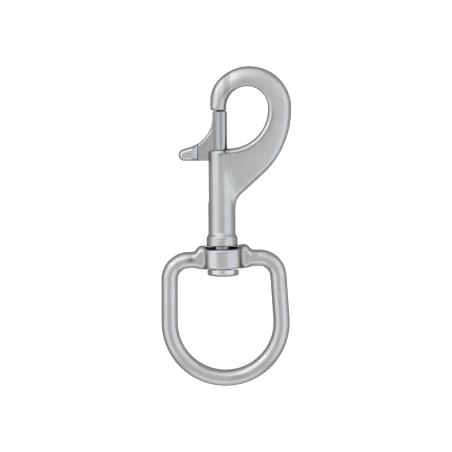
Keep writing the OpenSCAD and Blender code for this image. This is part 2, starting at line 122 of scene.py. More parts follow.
EDGE_TO = EDGE_FROM - EDGE_LEN * np.array([math.sin(_slope), math.cos(_slope)])
FILLET_C = EDGE_TO + WEB_FILLET * np.array([math.cos(_slope), -math.sin(_slope)])

BOLT_TOP = TIP_Y - GATE_GAP
BOLT_TRAVEL = BOLT_TOP - BARREL_H - BOLT_STAND
LEVER_Y = BARREL_H - LEVER_DROP
BOLT_END = LEVER_Y - BOLT_FOOT
SLOT_R = FIN_T / 2 + SLOT_GAP
SLOT_Y = LEVER_Y - BOLT_TRAVEL - SLOT_SPARE - (SLOT_R - math.sqrt(SLOT_R ** 2 - FIN_T ** 2 / 4))
FIN_CURVE_C = np.array([-FIN_REACH - FIN_CURVE_R, BOLT_TOP - FIN_CURVE_FROM])
PAD_END_C = np.array([PAD_END_R - PAD_REACH, LEVER_Y + PAD_END_R])

FOOT_R = EYE_IN_R + WIRE_R
CORNER_R = CORNER_IN_R + WIRE_R
# The eye droops until its foot rests on the table, and its hub has END_PLAY above and below
EYE_LEN = EYE_REACH + FOOT_R - HUB_DOWN + HUB_LOW_EDGE
EYE_DROOP = math.degrees(math.asin((HUB_R - WIRE_R) / EYE_LEN))
TILT = math.acos(math.cos(math.radians(EYE_LEAN)) * math.cos(math.radians(EYE_DROOP)))
EYE_Y = -END_PLAY - HUB_UP * math.cos(TILT) - COLLAR_R * math.sin(TILT)
HEAD_Y = EYE_Y - HUB_DOWN * math.cos(TILT) - HEAD_R * math.sin(TILT) - END_PLAY
HUB_BORE_R = PIN_R + SWIVEL_PLAY
EAR_X = COLLAR_R + EAR_GAP
EAR_SHIFT = EYE_SHIFT - EAR_UP * math.sin(math.radians(EYE_LEAN))
_flare = math.radians(EYE_FLARE)
CORNER = np.array([(FOOT_R - CORNER_R - (EYE_REACH - CORNER_R) * math.sin(_flare))
                   / math.cos(_flare), -CORNER_R])

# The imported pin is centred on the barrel's axis, and its top end is at y = PIN_SEAT
_pin_lo, _pin_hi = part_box("swivel_pin")
PLACE = np.array([(_pin_lo.x + _pin_hi.x) / 2, _pin_hi.y - PIN_SEAT / MM,
                  (_pin_lo.z + _pin_hi.z) / 2])
_droop = Matrix.Rotation(math.radians(EYE_DROOP), 4, "X")
_lean = Matrix.Rotation(math.radians(EYE_LEAN), 4, "Z")
EYE_TURN = np.array((_droop @ _lean).to_3x3())


# ---- distance fields -----------------------------------------------------------------------
def arc(c, r, a, b, n):
    """n steps round centre c from angle a to angle b, in degrees."""
    return [c + r * direction(mix(a, b, i / n)) for i in range(n + 1)]


def to_line(x, y, pts, closed=True):
    """Distance from each (x, y) to the polyline, and how far along it the nearest point lies."""
    pts = np.asarray(pts, float)
    a = pts if closed else pts[:-1]
    b = np.roll(pts, -1, 0) if closed else pts[1:]
    shape = np.broadcast(x, y).shape
    px, py = (np.broadcast_to(v, shape).ravel() for v in (x, y))
    best = np.full(px.shape, 1e9)
    where = np.zeros(px.shape)
    inside = np.zeros(px.shape, bool)
    for i in range(len(a)):
        ex, ey = b[i] - a[i]
        wx, wy = px - a[i][0], py - a[i][1]
        t = np.clip((wx * ex + wy * ey) / max(ex * ex + ey * ey, 1e-12), 0, 1)
        d = (wx - t * ex) ** 2 + (wy - t * ey) ** 2
        near = d < best
        best[near] = d[near]
        where[near] = i + t[near]
        if closed and ey != 0:
            over = (a[i][1] > py) != (b[i][1] > py)
            inside ^= over & (px < a[i][0] + (py - a[i][1]) * ex / ey)
    best = np.sqrt(best)
    if closed:
        best = np.where(inside, -best, best)
    return best.reshape(shape), where.reshape(shape)


def rounded(q1, q2, r):
    """Where two half spaces meet in an edge of radius r."""
    q1, q2 = q1 + r, q2 + r
    return np.minimum(np.maximum(q1, q2), 0) + np.hypot(np.maximum(q1, 0), np.maximum(q2, 0)) - r


def cylinder(rho, y, y0, y1, radius, r_low, r_high):
    """A cylinder along y from y0 to y1, with edges of radius r_low and r_high."""
    r = np.where(y > (y0 + y1) / 2, r_high, r_low)
    return rounded(rho - radius, np.abs(y - (y0 + y1) / 2) - (y1 - y0) / 2, r)


def join(a, b, k):
    """Smooth union of two fields."""
    h = np.clip(0.5 + 0.5 * (b - a) / k, 0, 1)
    return mix(b, a, h) - k * h * (1 - h)


def cut(a, b, k):
    """Field a with field b taken away, its new edges rounded off by k."""
    return -join(-a, b, k)


def smooth(x, a, b):
    """0 up to a, 1 from b on, and an even rise between."""
    t = np.clip((x - a) / (b - a), 0, 1)
    return t * t * (3 - 2 * t)


def bell(x, width):
    return np.exp(-(x / width) ** 2)


def spot(x, y, cx, cy, rx, ry):
    """A soft spot round (cx, cy), with half widths rx and ry."""
    return np.exp(-((x - cx) / rx) ** 2 - ((y - cy) / ry) ** 2)


def band(x, a, b, c, d):
    """1 from b to c, and 0 up to a and from d on."""
    return smooth(x, a, b) * (1 - smooth(x, c, d))


def hook_plan():
    """The hook's outline, with its inner and its outer edge. It runs on past the tip's end face."""
    tip = [np.array([x, TIP_Y - TIP_RUN_ON]) for x in (TIP_OUT_X, TIP_IN_X)]
    inner = (arc(IN_C, BOW_IN_R, 180, BOW_IN_BLEND, 70)
             + arc(IN_LOW_C, BOW_IN_LOW_R, BOW_IN_BLEND, -90, 90)[1:])
    # The web's low end lies inside the barrel
    top, foot = BARREL_H + WEB_RISE - WEB_IN_DROP, FILLET_C[1] - WEB_IN_FOOT
    low = [np.array([WEB_IN_X, top]), np.array([WEB_IN_X, foot]),
           np.array([BARREL_R - WEB_IN_SIDE, foot])]
    outer = (arc(FILLET_C, WEB_FILLET, 180, 180 - WEB_SLOPE, 30)
             + arc(OUT_LOW_C, BOW_OUT_LOW_R, -WEB_SLOPE, BOW_OUT_BLEND, 60)
             + arc(OUT_C, BOW_OUT_R, BOW_OUT_BLEND, TIP_TURN_FROM, 70)[1:]
             + arc(TIP_TURN_C, TIP_TURN_R, TIP_TURN_FROM, 180, 20)[1:])
    return tip + inner + low + outer, inner, outer


PLAN, PLAN_IN, PLAN_OUT = hook_plan()

# The bow's section by the place along its inner edge. A place is a count of the edge's points: 0 is
# at the tip, 70 at the end of the upper arc and 160 above the barrel.
HALF_IN = ([0, 35, 70, 160], [TIP_T / 2, CROWN_T / 2, SIDE_T / 2, WEB_T / 2])
HALF_OUT = ([0, 8, 14, 20, 28, 45, 55, 70, 160],
            [TIP_T / 2, 2.02, 1.74, 1.57, 1.5, 1.5, 1.7, SIDE_OUT_T / 2, WEB_LOW_T / 2])
SWELL_BY = ([7, 20, 45, 70], [SWELL, 2.2, 2.9, SWELL])
EDGE_IN = ([0, 7, 31, 60, 80], [ROUND_EDGE, ROUND_EDGE, INNER_EDGE, INNER_EDGE, BEAD_EDGE])
EDGE_OUT = ([0, 7, 20, 45, 75, 115],
            [ROUND_EDGE, ROUND_EDGE, 1.3, 1.3, ROUND_EDGE, WEB_EDGE + 0.4])
GROOVE_FROM, GROOVE_TO = (70, 92), (150, 160)


def bead_groove(d_in, at):
    """The narrow groove that sets a bead off along the inner edge, shallower above the barrel."""
    return (bell(d_in - BEAD_W, GROOVE_W) * smooth(at, *GROOVE_FROM)
            * (1 - 0.6 * smooth(at, *GROOVE_TO)))


def barrel_field(rho, y):
    flare = np.clip((y - COLLAR_H + FLARE_H) / FLARE_H, 0, 1)
    radius = (mix(COLLAR_R, BARREL_R, (1 - np.cos(np.pi * flare)) / 2)
              - COLLAR_LINE_DEPTH * bell(y - COLLAR_LINE_Y, COLLAR_LINE_W))
    edge = np.where(y > BARREL_H / 2, BARREL_RIM, COLLAR_EDGE)
    top = BARREL_H + TOP_RISE
    return rounded(rho - radius, np.abs(y - top / 2) - top / 2, edge)


def hook_field(x, y, z):
    d, _ = to_line(x, y, PLAN)
    d_in, at = to_line(x, y, PLAN_IN, closed=False)
    d_out, _ = to_line(x, y, PLAN_OUT, closed=False)
    u = d_in / np.maximum(d_in + d_out, 1e-6)
    half = mix(np.interp(at, *HALF_IN), np.interp(at, *HALF_OUT), u ** np.interp(at, *SWELL_BY))
    # The web thickens towards the barrel, but stays thinner than the barrel itself
    root = smooth(y, 14, 24) * (1 - smooth(x, 1, 13))
    thickest = np.maximum(half, BARREL_R - ROOT_BELOW_BARREL)
    half = np.minimum(half + ROOT_THICKER * root, thickest)
    edge = mix(np.interp(at, *EDGE_IN), np.interp(at, *EDGE_OUT), smooth(u, 0.25, 0.6))
    half = half - GROOVE_DEPTH * bead_groove(d_in, at)
    bow = rounded(d, np.abs(z) - half, np.minimum(edge, half - 0.02))
    # The tip ends in a flat face at TIP_Y, and the rest of the bow is left out of that cut
    past_tip = np.minimum(np.minimum(TIP_Y - y, TIP_IN_X + 2.5 - x), y - TIP_Y + 6)
    tip_edge = np.interp(x, [TIP_OUT_X, 0.0],
                         [TIP_CORNER - TIP_CORNER_LESS, TIP_EDGE - TIP_EDGE_LESS])
    bow = rounded(bow, past_tip, tip_edge)
    rho = np.hypot(x, z)
    barrel = barrel_field(rho, y)
    # The web's root blends in widest where the web is thin, above its foot and off its mid plane
    thin = smooth(BARREL_R - half, 0.45, 1.5)
    above = smooth(y, FILLET_C[1], FILLET_C[1] + 5)
    k = 0.25 + 0.9 * thin * above * smooth(np.abs(z), 0.5, 1.8)
    body = join(barrel, bow, k) + SHRINK
    bore = np.maximum(rho - BORE_R, y - BARREL_H - CUT_PAST)
    seat = np.maximum(rho - PIN_R - SEAT_GAP, y - PIN_SEAT)
    slot_d = np.hypot(np.minimum(y - SLOT_Y - SLOT_R, 0), z) - SLOT_R
    slot = np.maximum(np.maximum(slot_d, x), y - BARREL_H - CUT_PAST)
    for hole in (bore, seat, slot):
        body = cut(body, hole, CUT_EDGE)
    return body


def bolt_plan():
    """The outline of the bolt's fin and thumb pad, which starts inside the bolt."""
    hollow = arc(FIN_CURVE_C, FIN_CURVE_R, 0, -FIN_TURN, 30)
    top = BOLT_TOP - FIN_DROP
    out = [np.array([LEVER_IN_X, LEVER_Y + LEVER_RISE]), np.array([LEVER_IN_X, top]),
           np.array([-FIN_REACH + FIN_CORNER, top]), np.array([-FIN_REACH, top - FIN_CORNER])]
    pad = arc(PAD_END_C, PAD_END_R, 108, 270, 24)
    return out + hollow + pad + [np.array([PAD_FOOT_X, LEVER_Y])]


BOLT_PLAN = bolt_plan()
# Half the lever's thickness by x, from pad to fin, and where the pad's bevels fade out
LEVER_HALF = ([-8.75, -7.2, -6.95], [PAD_T / 2, 1.45, FIN_T / 2])
BEVEL_X = [-8.9, -7.4]


def bolt_field(x, y, z):
    d, _ = to_line(x, y, BOLT_PLAN)
    level = np.abs(z) - np.interp(x, *LEVER_HALF)
    slab = rounded(d, level, CUT_EDGE)
    # Low on the lever the bevels fade less
    grow = (np.interp(x, BEVEL_X, [1, 0])
            + np.interp(x, BEVEL_X, [0, 0.62]) * smooth(BOLT_TOP - y, 2.5, 7.0))
    steep_w, steep_h = PAD_STEEP * grow, PAD_STEEP_H * grow
    bevel_w, bevel_h = PAD_BEVEL * grow, PAD_BEVEL_H * grow
    steep = ((steep_h * d + steep_w * (level + steep_h + bevel_h))
             / np.maximum(np.hypot(steep_w, steep_h), 1e-3))
    bevel = ((bevel_h * (d + steep_w) + bevel_w * (level + bevel_h))
             / np.maximum(np.hypot(bevel_w, bevel_h), 1e-3))
    bevelled = cut(cut(slab, -steep, CUT_EDGE), -bevel, CUT_EDGE)
    slab = np.where(grow > 0.02, bevelled, slab)
    rho = np.hypot(x, z)
    shaft = cylinder(rho, y, BOLT_END, BOLT_TOP, BOLT_R, BOLT_NOSE, BOLT_NOSE + 0.15)
    return join(shaft, slab, LEVER_BLEND)


def pin_field(x, y, z):
    rho = np.hypot(x, z)
    low = HEAD_Y - HEAD_H - HEAD_TALLER
    rim = HEAD_R - HEAD_EDGE
    crown_r = (rim ** 2 + HEAD_CROWN ** 2) / (2 * HEAD_CROWN)
    head_rho = np.hypot(x - HEAD_OFF, z)
    head = cylinder(head_rho, y, low, HEAD_Y + HEAD_RISE, HEAD_R, HEAD_EDGE, HEAD_TOP_EDGE)
    dome = np.hypot(head_rho, y - low - crown_r) - crown_r
    head = cut(head, -dome, 0.5)
    shank = cylinder(rho, y, low + 1, PIN_SEAT, PIN_R, 0.1, 0.3)
    both = join(head, shank, 0.25)
    pit = np.sqrt((x - PIT_X) ** 2 + ((y - PIT_Y) * PIT_SQUEEZE) ** 2 + (z - PIT_Z) ** 2) - PIT_R
    return cut(both, pit, CUT_EDGE)


def eye_line():
    """The middle line of the eye's wire, from the hub down and round both ways."""
    right = ([np.array([0.0, 0.0]), np.array([CORNER[0], 0.0])]
             + arc(CORNER, CORNER_R, 90, EYE_FLARE, 24)[1:]
             + arc(np.array([0.0, -EYE_REACH]), FOOT_R, EYE_FLARE, -90, 60))
    left = [p * np.array([-1, 1]) for p in right[-2::-1]]
    return right + left


EYE_LINE = eye_line()


def eye_field(x, y, z):
    d, _ = to_line(x, y, EYE_LINE, closed=False)
    tube = np.hypot(d, z) - WIRE_R
    ax = np.abs(x)
    e = 1 - smooth(ax, EAR_X + EAR_LEVEL, EAR_X + EAR_RUN)
    up, down = mix(WIRE_R, EAR_UP, e), mix(WIRE_R, EAR_DOWN, e)
    half_t, r = mix(WIRE_R, EAR_T / 2, e), mix(WIRE_R, EAR_ROUND, e)
    ear = rounded(np.abs(y - (up - down) / 2) - (up + down) / 2, np.abs(z) - half_t, r)
    ear = rounded(ear, EAR_X - np.abs(x + EAR_SHIFT), EAR_SIDE_EDGE)
    arms = np.minimum(tube, np.maximum(ear, ax - EAR_X - EAR_RUN - 0.3))
    rho = np.hypot(x, z)
    hub_rho = (np.abs(x / HUB_WIDE) ** HUB_SQUARE + np.abs(z) ** HUB_SQUARE) ** (1 / HUB_SQUARE)
    low_edge = mix(HUB_LOW_EDGE, HUB_FRONT_EDGE, smooth(z, 0, 2))
    hub = cylinder(hub_rho, y, -HUB_DOWN, HUB_UP, HUB_R, low_edge, HUB_EDGE)
    body = join(hub, arms, ARM_BLEND)
    # A low seat behind the pin fills the gap up to the collar's foot, where the hook's y is 0
    hook_y = EYE_TURN[1, 0] * x + EYE_TURN[1, 1] * y + EYE_TURN[1, 2] * z + EYE_Y
    seat = np.maximum(np.maximum(rho - HUB_R + SEAT_IN, hook_y + SEAT_TOP_GAP),
                      np.maximum(z + SEAT_BACK, -y))
    body = join(body, seat, SEAT_BLEND) + SHRINK
    bore = np.maximum(rho - HUB_BORE_R, np.abs(y) - HUB_UP - 3)
    return cut(body, bore, HUB_BORE_EDGE)


# ---- meshing -------------------------------------------------------------------------------
NET_MARGIN, NET_PROBE, NET_PULL = 2.5, 0.05, 0.4  # in steps of the grid


def surface_net(field, box, step, name):
    """Mesh of the field's zero surface in the box, its points drawn onto the surface."""
    axes = [np.arange(lo - NET_MARGIN * step, hi + NET_MARGIN * step, step) for lo, hi in zip(*box)]
    gx, gy, gz = np.ix_(*axes)
    f = field(gx, gy, gz)
    f = np.broadcast_to(f, tuple(len(a) for a in axes)).astype(np.float64)
    cells = np.array(f.shape) - 1
    total = int(np.prod(cells))
    acc = np.zeros((total, 3))
    count = np.zeros(total)
    crossings = []
    for a in range(3):
        s0 = [slice(None)] * 3
        s1 = [slice(None)] * 3
        s0[a], s1[a] = slice(0, -1), slice(1, None)
        f0, f1 = f[tuple(s0)], f[tuple(s1)]
        e = np.argwhere((f0 < 0) != (f1 < 0))
        v0, v1 = f0[tuple(e.T)], f1[tuple(e.T)]
        p = e.astype(float)
        p[:, a] += v0 / (v0 - v1)
        b, c = (a + 1) % 3, (a + 2) % 3
        around = []
        for db, dc in ((-1, -1), (0, -1), (0, 0), (-1, 0)):
            q = e.copy()
            q[:, b] += db
            q[:, c] += dc
            flat = np.ravel_multi_index(tuple(q.T), tuple(cells))
            around.append(flat)
            for i in range(3):
                acc[:, i] += np.bincount(flat, p[:, i], total)
            count += np.bincount(flat, minlength=total)
        quad = np.stack(around, 1)
        quad[v0 >= 0] = quad[v0 >= 0][:, ::-1]
        crossings.append(quad)
    used = np.flatnonzero(count)
    pts = acc[used] / count[used][:, None]
    pts = np.stack([axes[i][0] + pts[:, i] * step for i in range(3)], 1)
    index = np.full(total, -1)
    index[used] = np.arange(len(used))
    quads = index[np.concatenate(crossings)]
    h = step * NET_PROBE
    for _ in range(2):
        x, y, z = pts.T
        v = field(x, y, z)
        ahead = field(x + h, y, z), field(x, y + h, z), field(x, y, z + h)
        g = np.stack([f_ahead - v for f_ahead in ahead], 1) / h
        move = -v[:, None] * g / np.maximum((g ** 2).sum(1), 0.2)[:, None]
        pts = pts + np.clip(move, -NET_PULL * step, NET_PULL * step)
    mesh = bpy.data.meshes.new(name)
    mesh.vertices.add(len(pts))
    mesh.loops.add(4 * len(quads))
    mesh.polygons.add(len(quads))
    mesh.loops.foreach_set("vertex_index", quads.ravel().astype(np.int32))
    mesh.polygons.foreach_set("loop_start", (4 * np.arange(len(quads))).astype(np.int32))
    mesh.polygons.foreach_set("use_smooth", np.ones(len(quads), bool))
    return mesh, pts


def put(mesh, pts, name, body, *nodes, turn=None, shift=(0, 0, 0), painted_light_and_marks=None):
    """Place a mesh in the scene.

    Its painted light and marks are the share of the steel's colour taken away at each point, for
    painted shade and marks, or added where negative, for painted highlights.
    """
    if painted_light_and_marks is not None:
        layer = mesh.attributes.new("painted_light_and_marks", "FLOAT_VECTOR", "POINT")
        layer.data.foreach_set("vector", painted_light_and_marks(*pts.T).ravel())
    if turn is not None:
        pts = pts @ turn.T
    pts = (pts + np.array(shift)) / MM + PLACE
    mesh.vertices.foreach_set("co", pts.ravel())
    mesh.update(calc_edges=True)
    mesh.validate()
    obj = bpy.data.objects.new(name, mesh)
    bpy.context.scene.collection.objects.link(obj)
    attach(obj, body)
    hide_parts(*nodes)
    return obj


# ---- painted shade, painted highlights and marks -------------------------------------------
# Spots on the front: how dark, the middle x and y, and the half width and half height
HOOK_SPOTS = (
    # The first spot is painted shade where the barrel's top end meets the web
    (0.12, -0.75, 27.4, 0.35, 0.7),  # the barrel's top end
    (0.13, 8.0, 50.0, 4.5, 1.6),  # the crown
    (0.16, 0.9, 2.0, 0.3, 0.7),  # the collar's lines
)
EYE_SPOTS = (
    (0.1, 4.4, -35.3, 4.2, 0.7),  # a streak at the eye's foot
    # The two spots on the wire beside the ears are painted shade where the wire bends into the ears
    (0.6, -9.8, 0.3, 1.1, 0.8),  # the wire beside the left ear
    (0.45, 9.75, 1.0, 0.95, 0.4),  # the wire beside the right ear
)
WEB_TOP_LINE = [(-0.4, 27.2), (1.4, 28.6), (2.6, 29.3), (4.6, 29.9)]
WEB_ROOT_X = ([16.3, 18.1, 19.9, 21.7, 23.5, 26.0], [5.1, 3.8, 3.0, 2.05, 1.7, 1.5])  # by y


def grey(dark):
    return dark[:, None] * np.ones(3)


def spots_on(x, y, spots):
    return sum(much * spot(x, y, *where) for much, *where in spots)


def hook_painted_light_and_marks(x, y, z):
    d_in, at = to_line(x, y, PLAN_IN, closed=False)
    past = d_in - BEAD_W
    front = smooth(z, 0.5, 2.5)
    # Painted shade in the line beside the bead
    dark = 0.6 * bell(past, np.where(past < 0, 0.22, 0.28)) * smooth(at, *GROOVE_FROM)
    dark = dark * (1 - 0.4 * smooth(at, *GROOVE_TO))
    dark = dark + front * spots_on(x, y, HOOK_SPOTS)
    # A painted dark reflection line down the barrel, left of its middle, and painted shade on the
    # barrel's right half under the web's top
    dark = dark + 0.13 * front * bell(x + 0.5, 0.3) * band(y, 16, 20, 26, 27)
    dark = dark + 0.28 * front * band(x, 0.4, 1.0, 2.2, 3.0) * smooth(y, 21, 27)
    # Painted shade along the web's top edge
    ridge, _ = to_line(x, y, WEB_TOP_LINE, closed=False)
    ridge_gap = 1 - 0.8 * spot(x, y, 1.6, 28.8, 0.9, 0.9)
    dark = dark + 0.3 * bell(ridge, 0.5) * smooth(z, 0, 1) * ridge_gap
    # Painted shade on the web's root on the barrel's side and a painted highlight past it, which
    # softens its edge
    past_root = x - np.interp(y, *WEB_ROOT_X)
    soften = 0.14 * bell(past_root + 0.55, 0.5) - 0.17 * bell(past_root - 0.6, 0.6)
    dark = dark + soften * front * band(y, 15.5, 17.5, 23.5, 26)
    # Two uneven lines round the collar
    lines = bell(y - 2.3, 0.13) + 0.8 * bell(y - 1.55, 0.12)
    dark = dark + 0.2 * lines * front * (0.55 + 0.45 * np.sin(x * 3.1 + 1.0))
    return grey(dark)


def bolt_painted_light(x, y, z):
    shaft = smooth(x, -2.2, -1.9)
    pad = 1 - smooth(x, -9.0, -8.6)
    # Painted shade in the line where fin and shaft meet, on the fin, and on the slope from the fin
    # to the pad
    dark = 0.32 * spot(x, y, -1.95, 32.5, 0.4, 8.0) + 0.1 * smooth(x, -7.6, -7.1) * (1 - shaft)
    slope = band(x, -9.0, -8.6, -7.9, -7.2) * (1 - 0.5 * smooth(x, -8.4, -7.5))
    # Painted dark reflection bands down the shaft, cooler in tone, and the pad painted lighter
    bands = shaft * (0.13 + 0.2 * bell(x + 0.4, 0.27) + 0.06 * bell(x - 0.8, 0.25))
    cool = (bands + 0.2 * slope)[:, None] * np.array([1.08, 1.0, 0.94])
    return dark[:, None] * np.array([0.85, 1.0, 1.15]) + cool - 0.12 * pad[:, None]


def pin_painted_light(x, y, z):
    # Painted shade on the shank, and a painted highlight on the head, most of all on its crown
    dark = 0.4 * smooth(y, HEAD_Y, HEAD_Y + 0.3) + 0.25 * smooth(y, -0.35, -0.1)
    dark = dark - 0.1 * (1 - smooth(y, HEAD_Y, HEAD_Y + 0.1))
    crown = HEAD_Y - HEAD_H
    return grey(dark - 0.75 * (1 - smooth(y, crown + 0.1, crown + 0.7)))


def eye_painted_light_and_marks(x, y, z):
    rho = np.hypot(x, z)
    level = np.abs(y)
    # The hub's top is painted brighter, and the seat on it behind the pin gets painted shade
    top = smooth(y, HUB_UP - 0.2, HUB_UP - 0.04)
    rim, seat = top * (1 - smooth(rho, 5.1, 5.5)), top * (1 - smooth(rho, 5.7, 5.9))
    painted_light_and_streak = np.where(z > -0.6, -0.9 * rim, 0.7 * seat)
    # A painted dark line round the hub near its top, the spots, and painted shade in the creases
    # beside the ears
    painted_light_and_streak = painted_light_and_streak + 0.12 * bell(y - 2.25, 0.28) * (1 - smooth(rho, HUB_R, HUB_R + 0.3))
    painted_light_and_streak = painted_light_and_streak + spots_on(x, y, EYE_SPOTS)
    crease = spot(np.abs(x + 0.1), z, 5.6, 2.7, 0.45, 0.9) * (1 - smooth(level, 3, 4))
    painted_light_and_streak = painted_light_and_streak + np.where(x > 0, 0.5, 0.35) * crease
    # The hub is painted a little brighter and cooler, and painted shade darkens it to the right
    at_hub = (1 - smooth(rho, HUB_R + 0.3, HUB_R + 0.7)) * (1 - smooth(level, 4, 5))
    cool = at_hub[:, None] * np.array([-0.05, -0.055, -0.095])
    return grey(painted_light_and_streak) + cool + (0.12 * at_hub * smooth(x, 1, 3))[:, None]


# ---- pieces --------------------------------------------------------------------------------
STEP = 0.19
FINE = 0.13

# Lowest and highest corner of each piece, in mm
HOOK_BOX = (-4.7, 0, -4.7), (20.9, 53.9, 4.7)
BOLT_BOX = (-12.9, BOLT_END, -2.4), (1.75, BOLT_TOP, 2.4)
PIN_BOX = (-4.7, HEAD_Y - HEAD_H - 0.2, -4.7), (4.95, PIN_SEAT, 4.7)
EYE_BOX = (-19.4, -38.3, -5.9), (19.4, 4.3, 5.9)

mesh, pts = surface_net(hook_field, HOOK_BOX, STEP, "hook_body_cast")
hook = put(mesh, pts, "hook_body_cast", "hook", "hook_body", painted_light_and_marks=hook_painted_light_and_marks)
mesh, pts = surface_net(bolt_field, BOLT_BOX, FINE, "bolt_with_lever")
bolt = put(mesh, pts, "bolt_with_lever", "bolt", "bolt", painted_light_and_marks=bolt_painted_light)
mesh, pts = surface_net(pin_field, PIN_BOX, FINE, "swivel_pin_turned")
pin = put(mesh, pts, "swivel_pin_turned", "hook", "swivel_pin", painted_light_and_marks=pin_painted_light)
mesh, pts = surface_net(eye_field, EYE_BOX, STEP, "swivel_eye_cast")
eye = put(mesh, pts, "swivel_eye_cast", "eye", "swivel_eye", turn=EYE_TURN,
          shift=(EYE_SHIFT, EYE_Y, 0), painted_light_and_marks=eye_painted_light_and_marks)


def spring_mesh():
    """The bolt's spring, with its first and last turn wound close."""
    wire_r = SPRING_WIRE / 2
    radius = BORE_R - SPRING_GAP - wire_r
    low, high, close = PIN_SEAT + wire_r, BOLT_END - wire_r, SPRING_WIRE * 1.12
    per_turn, sides = 32, 10
    n = SPRING_COILS * per_turn
    pts, faces = [], []
    for i in range(n + 1):
        turn = i / per_turn
        if turn < 1:
            y = low + close * turn
        elif turn > SPRING_COILS - 1:
            y = high - close * (SPRING_COILS - turn)
        else:
            y = mix(low + close, high - close, (turn - 1) / (SPRING_COILS - 2))
        a = 2 * math.pi * turn
        for j in range(sides):
            t = -2 * math.pi * j / sides
            r = radius + wire_r * math.cos(t)
            pts.append((r * math.cos(a), y + wire_r * math.sin(t), r * math.sin(a)))
    for i in range(n):
        for j in range(sides):
            k = (j + 1) % sides
            faces.append((i * sides + j, i * sides + k, (i + 1) * sides + k, (i + 1) * sides + j))
    faces.append(tuple(range(sides - 1, -1, -1)))
    faces.append(tuple(n * sides + j for j in range(sides)))
    m = bpy.data.meshes.new("bolt_spring_coil")
    m.from_pydata(pts, [], faces)
    m.polygons.foreach_set("use_smooth", np.ones(len(faces), bool))
    return m, np.array(pts)


mesh, pts = spring_mesh()
spring = put(mesh, pts, "bolt_spring_coil", "hook", "bolt_spring")
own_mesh(spring)


# ---- materials -----------------------------------------------------------------------------
EDGE_TINT = (0.3, 0.3, 0.31, 1)
NOISE_LOW, NOISE_HIGH = 0.3, 0.7  # where most of a noise texture's values lie


def steel(name, base, rough, grain, wave, speck):
    """Satin steel: cloudy tone, fine grain in the bump, and soft waves from casting and polishing.

    grain and wave are heights in metres, and speck is the tone of the small dark specks.
    """
    mat = bpy.data.materials.new(name)
    mat.use_nodes = True
    nt = mat.node_tree
    bsdf = nt.nodes["Principled BSDF"]
    bsdf.inputs["Metallic"].default_value = 1.0
    bsdf.inputs["Specular Tint"].default_value = EDGE_TINT
    new, link = nt.nodes.new, nt.links.new
    coord = new("ShaderNodeTexCoord").outputs["Object"]

    def noise(scale, detail, rough_in=0.5):
        n = new("ShaderNodeTexNoise")
        n.inputs["Scale"].default_value = scale
        n.inputs["Detail"].default_value = detail
        n.inputs["Roughness"].default_value = rough_in
        link(coord, n.inputs["Vector"])
        return n.outputs["Fac"]

    def ramp(fac, stops):
        r = new("ShaderNodeValToRGB")
        while len(r.color_ramp.elements) < len(stops):
            r.color_ramp.elements.new(0.5)
        for el, (pos, col) in zip(r.color_ramp.elements, stops):
            el.position = pos
            el.color = (*col, 1)
        link(fac, r.inputs["Fac"])
        return r.outputs["Color"]

    def span(fac, lo, hi):
        m = new("ShaderNodeMapRange")
        for socket, value in (("From Min", NOISE_LOW), ("From Max", NOISE_HIGH),
                              ("To Min", lo), ("To Max", hi)):
            m.inputs[socket].default_value = value
        link(fac, m.inputs["Value"])
        return m.outputs["Result"]

    def multiply(one, other):
        m = new("ShaderNodeMix")
        m.data_type = "RGBA"
        m.blend_type = "MULTIPLY"
        m.inputs["Factor"].default_value = 1.0
        link(one, m.inputs["A"])
        link(other, m.inputs["B"])
        return m.outputs["Result"]

    def bump(height, distance):
        m = new("ShaderNodeBump")
        m.inputs["Strength"].default_value = 1.0
        m.inputs["Distance"].default_value = distance
        link(height, m.inputs["Height"])
        return m

    b = np.array(base)
    light_cloud = tuple(b * [1.05, 1.06, 1.07])
    cloud = ramp(noise(160, 4, 0.6), [(NOISE_LOW, tuple(b * 0.93)), (0.5, tuple(b)),
                                      (NOISE_HIGH, light_cloud)])
    specks = ramp(noise(1500, 2), [(0.0, (speck,) * 3), (0.36, (1, 1, 1))])
    # Painted shade, painted highlights and marks, read from each point
    painted_light_and_marks = new("ShaderNodeAttribute")
    painted_light_and_marks.attribute_name = "painted_light_and_marks"
    left = new("ShaderNodeVectorMath")
    left.operation = "SUBTRACT"
    left.inputs[0].default_value = (1, 1, 1)
    link(painted_light_and_marks.outputs["Vector"], left.inputs[1])
    link(multiply(multiply(cloud, specks), left.outputs["Vector"]), bsdf.inputs["Base Color"])
    link(span(noise(260, 5, 0.6), rough * 0.85, rough * 1.2), bsdf.inputs["Roughness"])
    waves = bump(noise(230, 2), wave)
    grains = bump(noise(2600, 3, 0.6), grain)
    link(waves.outputs["Normal"], grains.inputs["Normal"])
    link(grains.outputs["Normal"], bsdf.inputs["Normal"])
    return mat


CAST = steel("satin_cast_steel", (0.297, 0.297, 0.297), 0.29, grain=1.5e-6, wave=2e-5, speck=0.95)
EYE = steel("polished_satin_steel", (0.304, 0.298, 0.3), 0.27, grain=1e-6, wave=1.5e-5, speck=0.96)
BOLT = steel("polished_bolt_steel", (0.295, 0.3, 0.306), 0.17, grain=1e-6, wave=1e-5, speck=0.96)
PIN = steel("turned_pin_steel", (0.33, 0.318, 0.319), 0.27, grain=1e-6, wave=1.5e-5, speck=0.95)
SPRING = steel("spring_wire_steel", (0.28, 0.28, 0.275), 0.32, grain=2e-6, wave=1e-5, speck=0.95)
for obj, node, mat, slot in ((hook, "hook_body", CAST, "cast_steel"),
                             (eye, "swivel_eye", EYE, "eye_steel"),
                             (bolt, "bolt", BOLT, "bolt_steel"),
                             (pin, "swivel_pin", PIN, "pin_steel"),
                             (spring, "bolt_spring", SPRING, "spring_steel")):
    for shown in (obj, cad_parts[node]):
        shown.data.materials.clear()
        shown.data.materials.append(mat)

# ---- table, light and camera ---------------------------------------------------------------
TABLE = 3  # half its width, in metres

